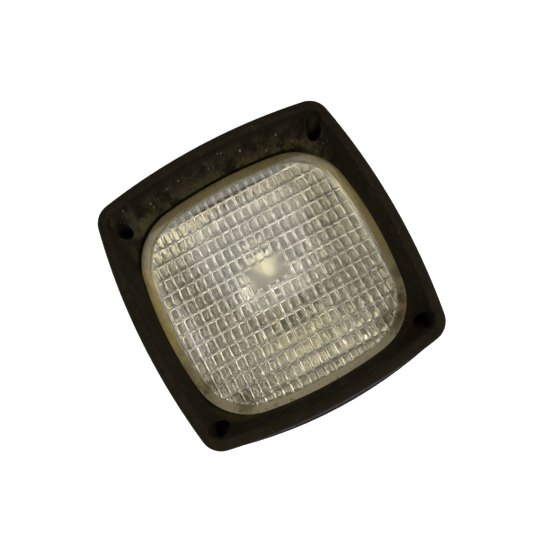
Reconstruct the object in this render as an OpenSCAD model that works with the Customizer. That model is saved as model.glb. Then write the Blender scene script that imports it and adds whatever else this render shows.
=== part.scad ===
// Square flush-mounted tractor work light with a deep dished bezel.
// It lies on its back: +Z is the beam axis, +Y is the top of the lamp, +X its right-hand side
// seen from the front. The end of the rear turret stands on z = 0.

/* [Bezel] */
// Width of the bezel beside the lens opening at mid side
side_w = 8.1; // [7.6:0.1:9]
// Width of the bezel over and under the lens opening at mid side
end_w = 12; // [11:0.25:13.5]
// Depth of the bezel from its rim to its back face
bezel_d = 46; // [45:0.5:49]
// Bow radius of the left and right sides
side_bow = 350; // [320:10:400]
// Bow radius of the top and bottom sides
end_bow = 320; // [300:10:380]
// Radius of the four outer corners
corner_r = 11.5; // [10.5:0.5:13]
// Width of the smooth lip round the rim
lip_w = 6; // [5.5:0.25:6.5]
// Rounding of the outer edge of the lip
lip_round = 3; // [2.5:0.25:4]
// Depth from the rim to the edge of the lens opening
dish_d = 32; // [30:0.5:34]
// Share of the dish profile that is curved
dish_curve = 0.45; // [0.2:0.05:0.7]
// Thickness of the bezel at the edge of the lens opening
edge_t = 1; // [0.8:0.1:1.5]

/* [Lens opening] */
// Width of the lens opening
opening_w = 129.8; // [128:0.1:131]
// Height of the lens opening
opening_h = 128; // [126:0.1:130]
// Bow radius of the sides of the opening
opening_side_bow = 215; // [200:5:240]
// Bow radius of the top and bottom of the opening
opening_end_bow = 231; // [215:5:260]
// Corner radius of the opening
opening_corner_r = 33; // [31:0.5:35]

/* [Corner screws] */
// Setback of the corner screws from the sides of the lens opening
screw_in_x = 6.4; // [6:0.1:6.8]
// Setback of the corner screws from the top and bottom of the lens opening
screw_in_y = 5; // [4.6:0.1:5.4]
// Diameter of the deep screw pockets
pocket_d = 8.7; // [8.4:0.1:9]
// Thickness of the bezel under a screw pocket
pocket_floor = 5; // [4:0.5:6]
// Diameter of the corner screws
screw_d = 4; // [3.5:0.1:4.2]
// Length of the corner screws under the head
screw_len = 30; // [25:1:40]
// Diameter of the plain shank between the head and the thread of a corner screw
waist_d = 3.4; // [3:0.1:3.6]
// Diameter of the screw heads
head_d = 8; // [7.4:0.1:8.2]
// Height of the screw heads
head_h = 2.6; // [2.2:0.1:3.2]
// Depth of the cross recess
recess_d = 1.5; // [1:0.1:1.8]
// Width of the arms of the cross recess
recess_w = 1.1; // [0.8:0.1:1.3]
// Thickness of the spring washers
washer_t = 1; // [0.8:0.1:1.3]
// Thickness of the push-on retainers behind the flange
retainer_t = 0.6; // [0.4:0.1:0.8]

/* [Lens] */
// Overlap of the lens flange under the edge of the bezel
lens_lap = 2.5; // [2:0.1:2.8]
// Thickness of the rubber seal in front of the lens flange
seal_t = 1; // [0.8:0.1:2]
// Thickness of the lens flange
lens_t = 4; // [3.5:0.25:5]
// Width of the plain flange that shows round the fluted field
flange_show = 4.8; // [4.4:0.1:5.5]
// Step from the flange up to the field
field_step = 0.8; // [0.4:0.1:1.2]
// Rise of the field at the middle of the lens
crown = 2; // [1.5:0.25:3]
// Width of one flute
flute_pitch = 5.1; // [4.6:0.1:5.8]
// Height of one row of flutes
row_pitch = 8.2; // [7.5:0.1:9]
// Depth of a flute from its crest to its valleys
flute_sag = 0.9; // [0.6:0.05:1.1]
// Tilt of each row of flutes
row_tilt = 3; // [1:0.5:4]
// Width of the bare pad in the field
pad_w = 22; // [16:1:28]
// Height of the bare pad
pad_h = 12; // [8:0.5:14]
// Height of the pad's centre above the middle of the lens
pad_up = 5.5; // [0:0.5:8]

/* [Reflector] */
// Focal length of the paraboloid
focal = 22; // [21:0.5:24]
// Thickness of the reflector sheet
sheet = 1; // [0.8:0.1:1.2]
// Thickness of the sealant between lens and reflector
sealant_t = 1.5; // [1:0.25:2.5]
// Radius of the hole at the back of the reflector
neck_r = 13.8; // [13.6:0.1:14.5]

/* [Bulb] */
// Height of the filament over the face of the bulb flange
light_centre = 18; // [17:0.5:19]
// Diameter of the bulb flange
bulb_flange_d = 22; // [20:0.5:23]
// Diameter of the glass envelope
envelope_d = 10.4; // [9.5:0.1:11.5]
// Length of the envelope over the bulb flange
envelope_len = 33; // [30:0.5:36]
// Length of the bulb base behind its flange
base_len = 9.5; // [8:0.5:11]

/* [Bulb clip] */
// Diameter of the spring wire
wire_d = 1.5; // [1.2:0.1:1.7]
// Spacing of the two legs
clip_w = 14; // [13:0.5:14.5]
// Distance from the lamp axis to the clip's pivot
pivot_out = 16; // [15.5:0.25:17]
// Length of the clip from its pivot to its cross bar
clip_len = 30; // [29:0.5:31]
// Angle through which the clip swings open
clip_swing = 45; // [35:1:50]

/* [Housing] */
// Outer diameter of the rear turret
turret_d = 75; // [74:0.5:78]
// Wall of the turret
turret_wall = 3.5; // [3:0.25:4]
// Wall of the bucket
wall = 2.6; // [2:0.1:3]
// Thickness of the housing flange behind the bezel
flange_t = 3; // [2.5:0.25:4]
// Setback of the housing flange from the bezel's side
flange_in = 1; // [0.5:0.25:1.5]
// Room between the reflector and the bottom of the bucket
bowl_room = 3; // [2.5:0.25:4]
// Number of ribs round the turret
rib_count = 8; // [6:1:10]
// Thickness of a rib
rib_t = 2.2; // [1.6:0.1:3]
// Thickness of the panel gasket
gasket_t = 3; // [2.6:0.2:5]
// How far the gasket stands out past the bezel at mid side
gasket_out = 1.4; // [1:0.1:2]
// Distance of the housing screws from the centre line
housing_screw_x = 25; // [18:1:32]
// Diameter of the housing screws
housing_screw_d = 3.2; // [2.9:0.1:3.6]
// Length of the housing screws under the head
housing_screw_len = 11; // [9:0.5:13]

/* [Rear cap] */
// Depth of the rear cap's edge below the end of the turret
cap_sink = 2.5; // [1.5:0.25:3.5]
// Thickness of the cap's edge
cap_edge = 3.2; // [2.8:0.1:3.6]
// Height of the finger recess in the cap
cap_recess = 4.5; // [3.5:0.25:5]
// Thickness of the cap's plate
cap_t = 2; // [1.5:0.25:3]
// Depth of the housing's bayonet ledges
ledge_h = 2.3; // [2:0.1:3]
// Angle covered by a bayonet ledge
ledge_arc = 40; // [34:1:46]
// Angle covered by a lug of the cap
lug_arc = 36; // [30:1:36]
// Height of the cap's lugs
lug_h = 2.5; // [2:0.1:3]
// Angle that the cap turns to unlock
cap_turn = 60; // [56:1:62]
// Width of the grip bar
grip_w = 6; // [4:0.5:8]

/* [Socket] */
// Height of the socket's centre over the end of the turret
socket_z = 18; // [17.5:0.5:22]
// Width of the socket's cavity
socket_w = 14; // [13:0.5:16]
// Height of the socket's cavity
socket_h = 9; // [8.5:0.5:11]
// Wall of the socket shroud
shroud_wall = 1.8; // [1.5:0.1:2.5]
// Length of the shroud outside the turret
shroud_len = 16; // [14:0.5:20]
// Spacing of the two contacts
contact_gap = 8; // [7.5:0.5:9]
// Width of a contact blade
blade_w = 6.3; // [4.8:0.1:6.5]
// Thickness of a contact blade
blade_t = 0.8; // [0.6:0.1:1]
// Diameter of the leads inside the housing
lead_d = 2.6; // [2:0.1:3]

/* [Hidden] */

// Fineness of round faces, and the number of straight steps in a bow and in a corner
$fn = 64;
bow_steps = 6;
corner_steps = 6;
// Overlap of pieces that are joined, and overrun of cuts
bite = 0.5;
over = 1;
// Small clearances: between neighbours, running fits and snug pieces
gap = 0.3;
run_gap = 0.06;
fit_gap = 0.02;
// Width of the clear ring that the bezel leaves round the lens flange
lens_gap = 0.3;
// Steps of insets from the opening to the sealant, the reflector and the bucket
sealant_in = 0.4;
reflector_in = 0.3;
bucket_gap = 1;
// Land of the reflector above the corner of the paraboloid
rim_land = 0.6;

// A bowed square is [half width, half height, side bow, end bow, corner radius]
rim = [opening_w / 2 + side_w, opening_h / 2 + end_w, side_bow, end_bow, corner_r];
opening = [opening_w / 2, opening_h / 2, opening_side_bow, opening_end_bow, opening_corner_r];
gasket_bow = 0.8;
gasket_corner = 13;
gasket_edge = [rim[0] + gasket_out, rim[1] + gasket_out,
               side_bow * gasket_bow, end_bow * gasket_bow, gasket_corner];
function grow(s, e) = [for (v = s) v + e];
function blend(a, b, t) = [for (i = [0 : 4]) a[i] + (b[i] - a[i]) * t];

// Centre of the corner circle that touches both bows from inside
function corner_centre(s) =
    let (a = [s[0] - s[2], 0], b = [0, s[1] - s[3]], ra = s[2] - s[4], rb = s[3] - s[4],
         d = norm(b - a), u = (b - a) / d, t = (ra * ra - rb * rb + d * d) / (2 * d),
         h = sqrt(ra * ra - t * t))
    a + t * u + h * [-u[1], u[0]];
function corner_reach(s) = norm(corner_centre(s)) + s[4];

// Outline of a bowed square, anticlockwise from the middle of its right side
function quarter(s) =
    let (c = corner_centre(s), t1 = atan2(c[1], c[0] - s[0] + s[2]),
         t2 = atan2(c[1] - s[1] + s[3], c[0]))
    concat([for (i = [0 : bow_steps - 1]) let (t = t1 * i / bow_steps)
                [s[0] - s[2] + s[2] * cos(t), s[2] * sin(t)]],
           [for (i = [0 : corner_steps]) let (t = t1 + (t2 - t1) * i / corner_steps)
                c + s[4] * [cos(t), sin(t)]],
           [for (i = [1 : bow_steps]) let (t = t2 + (90 - t2) * i / bow_steps)
                [s[3] * cos(t), s[1] - s[3] + s[3] * sin(t)]]);
function outline(s) =
    let (q = quarter(s), n = len(q) - 1)
    concat([for (i = [0 : n - 1]) q[i]],
           [for (i = [0 : n - 1]) [-q[n - i][0], q[n - i][1]]],
           [for (i = [0 : n - 1]) -q[i]],
           [for (i = [0 : n - 1]) [q[n - i][0], -q[n - i][1]]]);

module prism(s, z0, z1) {
    translate([0, 0, z0]) linear_extrude(z1 - z0) polygon(outline(s));
}
module frame_ring(outer, inner, z0, z1) {
    difference() {
        prism(outer, z0, z1);
        prism(inner, z0 - over, z1 + over);
    }
}

// Heights, worked out from the end of the turret up to the rim
ledge_z = cap_sink + cap_edge + gap;
cap_in_z = 1 + cap_recess + cap_t;
wire_r = wire_d / 2;
swing_room = 1.2;
clip_z = cap_in_z + clip_len * sin(clip_swing) + wire_r + swing_room;
base_back_z = clip_z + wire_r + gap;
boss_h = 2.8;
bulb_flange_t = 1;
seat_z = base_back_z + boss_h + bulb_flange_t;
vertex_z = seat_z - focal + light_centre;
reflector_line = grow(opening, -flange_show + reflector_in);
reflector_reach = corner_reach(reflector_line);
reflector_top = vertex_z + reflector_reach * reflector_reach / (4 * focal) + rim_land;
lens_back_z = reflector_top + sealant_t;
lens_front_z = lens_back_z + lens_t;
edge_z = lens_front_z + seal_t;
rim_z = edge_z + edge_t + dish_d;
bezel_back_z = rim_z - bezel_d;
flange_z = bezel_back_z - flange_t;
gasket_z = flange_z - gasket_t;
pocket_z = bezel_back_z + pocket_floor;

// Places of the corner screws and of the housing screws
screw_dx = opening_w - 2 * screw_in_x;
screw_dy = opening_h - 2 * screw_in_y;
corner_places = [for (x = [-1, 1], y = [-1, 1]) [x * screw_dx / 2, y * screw_dy / 2]];
recess_line = grow(opening, lens_lap + lens_gap);
rim_at_screw = rim[1] - end_bow + sqrt(end_bow * end_bow - housing_screw_x * housing_screw_x);
recess_at_screw = recess_line[1] - recess_line[3]
    + sqrt(recess_line[3] * recess_line[3] - housing_screw_x * housing_screw_x);
housing_screw_y = (rim_at_screw + recess_at_screw) / 2;
housing_screw_places = [for (x = [-1, 1], y = [-1, 1]) [x * housing_screw_x, y * housing_screw_y]];
housing_head_r = 3.1;
housing_head_h = 2.2;
housing_cross_d = 1.1;
housing_cross_w = 0.8;

// Skin through rings of points, closed round the frame and across its section
function ring_at(s, z) = [for (p = outline(s)) [p[0], p[1], z]];
module ring_skin(rings) {
    m = len(rings);
    n = len(rings[0]);
    points = [for (r = rings, p = r) p];
    faces = [for (i = [0 : m - 1], j = [0 : n - 1])
        let (a = i * n + j, b = i * n + (j + 1) % n,
             c = ((i + 1) % m) * n + (j + 1) % n, d = ((i + 1) % m) * n + j)
        each [[a, c, b], [a, d, c]]];
    polyhedron(points, faces, convexity = 6);
}

// Deep dished bezel: outer wall, rounded lip, dish down to the lens opening, recess behind
lip_steps = 3;
dish_steps = 6;
lip_inner_round = 1;
dish_start = grow(rim, -lip_w);
dish_fall = dish_d - lip_inner_round;
function dish_share(t) = (1 - dish_curve) * t + dish_curve * sin(90 * t);
bezel_rings = concat(
    [ring_at(rim, bezel_back_z)],
    [for (i = [0 : lip_steps]) let (a = 90 * i / lip_steps)
        ring_at(grow(rim, lip_round * (cos(a) - 1)), rim_z - lip_round * (1 - sin(a)))],
    [ring_at(grow(rim, lip_inner_round * 0.8 - lip_w), rim_z - lip_inner_round * 0.2)],
    [for (i = [0 : dish_steps]) let (t = i / dish_steps)
        ring_at(blend(dish_start, opening, t), rim_z - lip_inner_round - dish_fall * dish_share(t))],
    [ring_at(opening, edge_z), ring_at(recess_line, edge_z), ring_at(recess_line, bezel_back_z)]);

module bezel() {
    color([0.13, 0.125, 0.11])
    difference() {
        ring_skin(bezel_rings);
        for (p = corner_places) translate([p[0], p[1], 0]) {
            translate([0, 0, pocket_z]) cylinder(d = pocket_d, h = rim_z);
            translate([0, 0, bezel_back_z - over]) cylinder(r = screw_d / 2 + gap, h = bezel_d);
        }
        for (p = housing_screw_places) translate([p[0], p[1], bezel_back_z - over])
            cylinder(r = housing_screw_d / 2 + run_gap, h = housing_screw_len - flange_t + 2 * over);
    }
}

// Rubber seal between the bezel's edge and the lens
seal_back = 0.8;
module lens_seal() {
    color([0.06, 0.06, 0.06])
    frame_ring(grow(opening, lens_lap), grow(opening, seal_back), lens_front_z, edge_z);
}

// Pressed glass lens: plain flange, slightly domed field, rows of flutes on the inner face
field_line = grow(opening, -flange_show);
flute_line = grow(field_line, -0.5);
dome_r = (field_line[0] * field_line[0] + crown * crown) / (2 * crown);
dome_steps = 8;
dome_reach = corner_reach(field_line) + 2;
flute_r = (flute_pitch * flute_pitch / 4 + flute_sag * flute_sag) / (2 * flute_sag);
flute_root = 0.4;
flute_steps = 4;
row_count = 2 * ceil(flute_line[1] / row_pitch - 0.5) + 1;
flute_count = ceil(2 * flute_line[0] / flute_pitch);
row_drop = row_pitch * sin(row_tilt) / 2;
function flute_crest(u) = flute_sag - flute_r + sqrt(flute_r * flute_r - u * u);
module flute_profile() {
    x0 = -flute_count * flute_pitch / 2;
    polygon(concat(
        [for (i = [0 : flute_count * flute_steps])
            let (u = (i % flute_steps) / flute_steps * flute_pitch - flute_pitch / 2)
            [x0 + i * flute_pitch / flute_steps, -flute_root - row_drop - flute_crest(u)]],
        [[-x0, bite], [x0, bite]]));
}
module flute_rows() {
    for (j = [0 : row_count - 1])
        translate([0, (j - (row_count - 1) / 2) * row_pitch, lens_back_z])
            rotate([row_tilt, 0, 0])
                translate([0, row_pitch / 2, 0]) rotate([90, 0, 0])
                    linear_extrude(row_pitch) flute_profile();
}
module below_dome(top_z) {
    translate([0, 0, top_z]) rotate_extrude() polygon(concat(
        [[0, -3 * crown]],
        [for (i = [dome_steps : -1 : 0]) let (r = dome_reach * i / dome_steps)
            [r, sqrt(dome_r * dome_r - r * r) - dome_r]]));
}
module lens() {
    field_z = lens_front_z + field_step + crown;
    flute_z = lens_back_z - flute_sag - flute_root - row_drop;
    color([0.78, 0.77, 0.70, 0.55])
    union() {
        prism(grow(opening, lens_lap), lens_back_z, lens_front_z);
        intersection() {
            prism(field_line, lens_back_z + over, field_z + over);
            below_dome(field_z);
        }
        intersection() {
            flute_rows();
            prism(flute_line, flute_z - over, lens_back_z + bite / 2);
        }
        translate([-pad_w / 2, pad_up - pad_h / 2, flute_z])
            cube([pad_w, pad_h, lens_back_z + bite / 2 - flute_z]);
    }
}

// Bead of sealant that bonds the lens to the reflector
module lens_sealant() {
    color([0.80, 0.76, 0.62])
    frame_ring(grow(opening, lens_lap - 0.7), grow(opening, -flange_show + sealant_in),
               reflector_top, lens_back_z);
}

// Paraboloid sections, with the first stretch wide enough for the seat ring and its lugs
lug_half = 2.5;
lug_land = 1.5;
seat_ring_r = pivot_out + lug_half + lug_land;
section_steps = 7;
section_end = reflector_reach + 3;
section_radii = concat([neck_r - 2, neck_r], [for (i = [0 : section_steps])
    seat_ring_r + (section_end - seat_ring_r) * i / section_steps]);
function paraboloid_z(r) = vertex_z + r * r / (4 * focal);
sheet_drop = sheet * 1.1;
module above_paraboloid(drop, top) {
    rotate_extrude() polygon(concat(
        [[0, paraboloid_z(neck_r - 2) - drop]],
        [for (r = section_radii) [r, paraboloid_z(r) - drop]],
        [[section_end, top], [0, top]]));
}
module below_paraboloid(drop, r_end) {
    rotate_extrude() polygon(concat(
        [[0, 0]],
        [[0, paraboloid_z(neck_r - 2) - drop]],
        [for (r = section_radii) if (r <= r_end) [r, paraboloid_z(r) - drop]],
        [[r_end, 0]]));
}

module reflector() {
    color([0.80, 0.80, 0.78])
    difference() {
        union() {
            intersection() {
                prism(grow(reflector_line, sheet), 0, reflector_top);
                above_paraboloid(sheet_drop, rim_z);
            }
            prism(grow(opening, lens_lap - 0.3), reflector_top - sheet, reflector_top);
        }
        intersection() {
            prism(reflector_line, 0, reflector_top + over);
            above_paraboloid(0, rim_z);
        }
        cylinder(r = neck_r, h = rim_z);
    }
}

// Pressed ring that seats the bulb, with the clip's two lugs, its catch and the earth blade
seat_floor_t = 1;
seat_hole_r = 7;
seat_out_r = neck_r - 0.4;
lug_x = clip_w / 2 + wire_r + 1;
lug_t = 1;
tab_gap = 0.4;
bar_y = clip_len - pivot_out;
earth_x = 14;
earth_y = -11;
earth_blade_len = 9;
module bulb_seat_ring() {
    color([0.62, 0.60, 0.52])
    union() {
        translate([0, 0, seat_z]) difference() {
            cylinder(r = seat_out_r, h = seat_floor_t);
            translate([0, 0, -over]) cylinder(r = seat_hole_r, h = 3 * over);
        }
        difference() {
            union() {
                cylinder(r = seat_out_r, h = seat_z + seat_floor_t / 2);
                below_paraboloid(sheet_drop, seat_ring_r);
            }
            cylinder(r = seat_out_r - seat_floor_t, h = seat_z + over);
            below_paraboloid(sheet_drop + sheet, seat_ring_r + over);
            cylinder(r = seat_ring_r + over, h = base_back_z);
        }
        intersection() {
            union() {
                for (s = [-1, 1]) difference() {
                    translate([s * (lug_x + lug_t / 2), -pivot_out, clip_z])
                        translate([-lug_t / 2, -lug_half, -wire_r - 1]) cube([lug_t, 2 * lug_half, seat_z]);
                    translate([s * (lug_x + lug_t / 2), -pivot_out, clip_z])
                        rotate([0, 90, 0]) cylinder(r = wire_r + run_gap, h = 3 * lug_t, center = true);
                }
                translate([-clip_w / 4, bar_y + wire_r + tab_gap, clip_z - wire_r])
                    cube([clip_w / 2, seat_floor_t, seat_z]);
                translate([earth_x, earth_y, seat_z - earth_blade_len - boss_h])
                    cube([blade_t, blade_w, seat_z]);
            }
            below_paraboloid(sheet_drop, seat_ring_r);
        }
    }
}

// Halogen bulb: base, hollow glass envelope with its pinch, and the cross filament
pinch = [8.6, 3.2, 7];
pinch_z = seat_z + 4;
envelope_r = envelope_d / 2;
envelope_wall = 0.9;
filament_len = 5;
filament_r = 0.65;
support_r = 0.3;
collar_r = 6.5;
collar_h = 6;
tail_r = 5.5;
module capsule(r, z0, z1) {
    translate([0, 0, z0]) cylinder(r = r, h = z1 - z0 - r);
    translate([0, 0, z1 - r]) sphere(r = r);
}
module bulb_glass() {
    color([0.90, 0.92, 0.93, 0.4])
    union() {
        difference() {
            capsule(envelope_r, pinch_z + pinch[2] - 1, seat_z + envelope_len);
            capsule(envelope_r - envelope_wall, pinch_z + pinch[2] + 0.2, seat_z + envelope_len - envelope_wall);
        }
        translate([-pinch[0] / 2, -pinch[1] / 2, pinch_z]) cube(pinch);
    }
}
module bulb_filament() {
    color([0.35, 0.34, 0.33])
    translate([0, 0, seat_z + light_centre]) {
        rotate([0, 90, 0]) cylinder(r = filament_r, h = filament_len, center = true);
        for (s = [-1, 1]) translate([s * filament_len / 2, 0, 0]) mirror([0, 0, 1])
            cylinder(r = support_r, h = seat_z + light_centre - pinch_z - pinch[2] - 0.2);
    }
}
module bulb_base() {
    color([0.70, 0.70, 0.68])
    difference() {
        union() {
            translate([0, 0, seat_z - bulb_flange_t]) cylinder(d = bulb_flange_d, h = bulb_flange_t);
            translate([0, 0, base_back_z]) cylinder(r = 8.8, h = boss_h + bite);
            translate([0, 0, seat_z - base_len]) cylinder(r = tail_r, h = base_len);
            translate([0, 0, seat_z - bite]) cylinder(r = collar_r, h = collar_h + bite);
        }
        translate([-pinch[0] / 2 - 0.1, -pinch[1] / 2 - 0.1, pinch_z]) cube(pinch + [0.2, 0.2, 0]);
        translate([bulb_flange_d / 2 - 1.5, -1.5, seat_z - 2]) cube([3, 3, 4]);
    }
}

// Spring wire clip that holds the bulb in its seat
module wire_run(a, b) {
    d = b - a;
    translate(a) rotate([0, acos(d[2] / norm(d)), atan2(d[1], d[0])]) cylinder(r = wire_r, h = norm(d));
}
module bulb_clip() {
    x = clip_w / 2;
    pivot_end = lug_x + lug_t + 0.8;
    color([0.72, 0.72, 0.70])
    union() {
        for (s = [-1, 1]) {
            wire_run([s * pivot_end, -pivot_out, clip_z], [s * x, -pivot_out, clip_z]);
            wire_run([s * x, -pivot_out, clip_z], [s * x, bar_y, clip_z]);
            translate([s * x, -pivot_out, clip_z]) sphere(r = wire_r);
            translate([s * x, bar_y, clip_z]) sphere(r = wire_r);
        }
        wire_run([-x, bar_y, clip_z], [x, bar_y, clip_z]);
    }
}

// Leads inside the housing: a tube along a smooth curve through a few points
function spline(p, i, t) =
    let (a = p[max(i - 1, 0)], b = p[i], c = p[i + 1], d = p[min(i + 2, len(p) - 1)])
    0.5 * (2 * b + (c - a) * t + (2 * a - 5 * b + 4 * c - d) * t * t
           + (3 * b - a - 3 * c + d) * t * t * t);
lead_steps = 4;
lead_sides = 10;
function route(p) = concat([for (i = [0 : len(p) - 2], k = [0 : lead_steps - 1])
    spline(p, i, k / lead_steps)], [p[len(p) - 1]]);
function unit(v) = v / norm(v);
module lead(p, start_dir, end_dir) {
    r = route(p);
    m = len(r);
    points = [for (i = [0 : m - 1])
        let (t = i == 0 ? start_dir : i == m - 1 ? end_dir : unit(r[i + 1] - r[i - 1]),
             u = unit(cross(t, [1, 0.2, 0.1])), w = cross(t, u))
        for (k = [0 : lead_sides - 1])
            r[i] + lead_d / 2 * (u * cos(360 * k / lead_sides) + w * sin(360 * k / lead_sides))];
    sides = [for (i = [0 : m - 2], k = [0 : lead_sides - 1])
        let (a = i * lead_sides + k, b = i * lead_sides + (k + 1) % lead_sides)
        each [[a, b, b + lead_sides], [a, b + lead_sides, a + lead_sides]]];
    ends = [[for (k = [0 : lead_sides - 1]) lead_sides - 1 - k],
            [for (k = [0 : lead_sides - 1]) (m - 1) * lead_sides + k]];
    polyhedron(points, concat(sides, ends), convexity = 6);
}

// Places of the contacts, and the sleeves that push on to them
bore_r = turret_d / 2 - turret_wall;
contact_x = contact_gap / 2;
insert_in = 1;
insert_y0 = -bore_r + insert_in;
insert_len = turret_wall + 3;
tail_len = 6;
tail_y = insert_y0 + tail_len;
sleeve_wall = 0.7;
sleeve_len = 8;
sleeve_y = insert_y0 + gap;
sleeve = [blade_t + 2 * sleeve_wall, sleeve_len, blade_w + 2 * sleeve_wall];
sleeve_end = sleeve_y + sleeve_len;
base_end_z = seat_z - base_len;
live_route = [[0, 0, base_end_z], [0, -1.5, base_end_z - 3.5], [-1, sleeve_end / 4, socket_z + 1.5],
              [-contact_x + 1, sleeve_end / 2, socket_z], [-contact_x, sleeve_end + 6.5, socket_z],
              [-contact_x, sleeve_end, socket_z]];
earth_mid = earth_x + blade_t / 2;
earth_sleeve_z = seat_z - earth_blade_len - boss_h - sleeve_wall;
earth_route = [[earth_mid, earth_y + blade_w / 2, earth_sleeve_z],
               [earth_mid, earth_y + 2, earth_sleeve_z - 2.5], [13, sleeve_end / 2, socket_z],
               [9.5, sleeve_end + 6.5, socket_z - 0.5], [contact_x + 1.2, sleeve_end + 2.7, socket_z],
               [contact_x, sleeve_end, socket_z]];
module bulb_lead() {
    color([0.75, 0.73, 0.68]) lead(live_route, [0, 0, -1], [0, -1, 0]);
}
module earth_lead() {
    color([0.25, 0.17, 0.10]) lead(earth_route, [0, 0, -1], [0, -1, 0]);
}
module contact_sleeve(x) {
    difference() {
        translate([x - sleeve[0] / 2, sleeve_y, socket_z - sleeve[2] / 2]) cube(sleeve);
        translate([x - blade_t / 2 - 0.05, sleeve_y - over, socket_z - blade_w / 2 - 0.05])
            cube([blade_t + 0.1, tail_y - sleeve_y + over + 0.05, blade_w + 0.1]);
    }
}
module lead_terminal() {
    color([0.72, 0.66, 0.45]) contact_sleeve(-contact_x);
}
module earth_terminals() {
    top_z = earth_sleeve_z + sleeve_len;
    color([0.72, 0.66, 0.45]) {
        contact_sleeve(contact_x);
        difference() {
            translate([earth_mid - sleeve[0] / 2, earth_y - sleeve_wall, earth_sleeve_z])
                cube([sleeve[0], sleeve[2], sleeve_len]);
            translate([earth_x - 0.05, earth_y - 0.05, earth_sleeve_z + sleeve_wall])
                cube([blade_t + 0.1, blade_w + 0.1, top_z]);
        }
    }
}

// Moulded insert of the socket with its two contact blades
insert_gap = 0.05;
blade_tip = turret_d / 2 + shroud_len - 4;
module socket_insert() {
    color([0.55, 0.53, 0.48])
    difference() {
        translate([-socket_w / 2 + insert_gap, insert_y0 - insert_len, socket_z - socket_h / 2 + insert_gap])
            cube([socket_w - 2 * insert_gap, insert_len, socket_h - 2 * insert_gap]);
        for (s = [-1, 1])
            translate([s * contact_x - blade_t / 2 - insert_gap, -turret_d, socket_z - blade_w / 2 - insert_gap])
                cube([blade_t + 2 * insert_gap, turret_d, blade_w + 2 * insert_gap]);
    }
}
module contact(x) {
    translate([x - blade_t / 2, -blade_tip, socket_z - blade_w / 2])
        cube([blade_t, blade_tip + tail_y, blade_w]);
}
module live_contact() {
    color([0.80, 0.72, 0.45]) contact(-contact_x);
}
module earth_contact() {
    color([0.80, 0.72, 0.45]) contact(contact_x);
}

// Housing: flange, bucket that follows the reflector, round turret, ribs, socket shroud
bucket_in = grow(reflector_line, sheet + bucket_gap);
bucket_out = grow(bucket_in, wall);
bowl_drop = sheet_drop + bowl_room;
bowl_wall = wall * 1.2;
turret_r = turret_d / 2;
function bowl_out_z(r) = paraboloid_z(r) - bowl_drop - bowl_wall;
bowl_z = bowl_out_z(turret_r) + bowl_wall / 2;
ledge_r = bore_r - 3;
stop_arc = 4;
stop_gap = 0.8;
stop_h = 2.5;
stop_in = 0.4;
breather_z = 22;
breather_r = 3;
breather_bore_r = 0.9;
plug_in = 1;
plug_h = 3;
plug_lip = 2;
plug_top = 1.2;
head_gap = 0.1;
module sector(r0, r1, z0, h, from, arc) {
    rotate([0, 0, from]) rotate_extrude(angle = arc, $fn = 96)
        translate([r0, z0]) square([r1 - r0, h]);
}
module stop(from) {
    sector(ledge_r + stop_in, bore_r + bite, ledge_z + stop_in, ledge_h + stop_h, from, stop_arc);
}
rib_depth = 16;
rib_foot = 2.5;
rib_in = 6;
module rib(angle) {
    r_end = bucket_out[0] - rib_in;
    r_mid = (r_end + turret_r) / 2;
    rotate([0, 0, angle]) translate([0, rib_t / 2, 0]) rotate([90, 0, 0]) linear_extrude(rib_t)
        polygon([[turret_r - bite, bowl_z - rib_depth], [turret_r + rib_foot, bowl_z - rib_depth],
                 [r_end, bowl_out_z(r_end) - 2], [r_end, bowl_out_z(r_end) + 1],
                 [r_mid, bowl_out_z(r_mid) + 1], [turret_r - bite, bowl_out_z(turret_r) + 1]]);
}
module housing() {
    color([0.10, 0.10, 0.10])
    union() {
        difference() {
            union() {
                prism(grow(rim, -flange_in), flange_z, bezel_back_z);
                intersection() {
                    prism(bucket_out, 0, flange_z + bite);
                    above_paraboloid(bowl_drop + bowl_wall, rim_z);
                }
                cylinder(r = turret_r, h = bowl_z);
                for (i = [0 : rib_count - 1]) rib(360 * (i + 0.5) / rib_count);
                translate([-socket_w / 2 - shroud_wall, -turret_r - shroud_len, socket_z - socket_h / 2 - shroud_wall])
                    cube([socket_w + 2 * shroud_wall, shroud_len + turret_wall, socket_h + 2 * shroud_wall]);
            }
            intersection() {
                prism(bucket_in, 0, bezel_back_z + over);
                above_paraboloid(bowl_drop, rim_z);
            }
            translate([0, 0, -over]) cylinder(r = bore_r, h = bowl_z + over);
            translate([-socket_w / 2, -turret_r - shroud_len - over, socket_z - socket_h / 2])
                cube([socket_w, shroud_len + 2 * turret_wall, socket_h]);
            for (p = corner_places) translate([p[0], p[1], flange_z - over])
                cylinder(r = screw_d / 2 + gap, h = flange_t + 2 * over);
            for (p = housing_screw_places) translate([p[0], p[1], flange_z - over])
                cylinder(r = housing_screw_d / 2 + gap, h = flange_t + 2 * over);
            translate([0, 0, breather_z]) rotate([-90, 0, 0]) cylinder(r = breather_r, h = turret_d);
        }
        for (i = [0 : 2]) rotate([0, 0, 120 * i + 30]) {
            sector(ledge_r, bore_r + bite, ledge_z, ledge_h, -ledge_arc / 2, ledge_arc);
            stop(lug_arc / 2 + stop_gap);
            stop(-cap_turn - lug_arc / 2 - stop_gap - stop_arc);
        }
    }
}

// Foam ring that presses the lens and reflector against the bezel
module optic_cushion() {
    color([0.16, 0.16, 0.16])
    frame_ring(grow(opening, lens_lap - 0.1), grow(bucket_in, 0.4), bezel_back_z, reflector_top - sheet);
}

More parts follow.
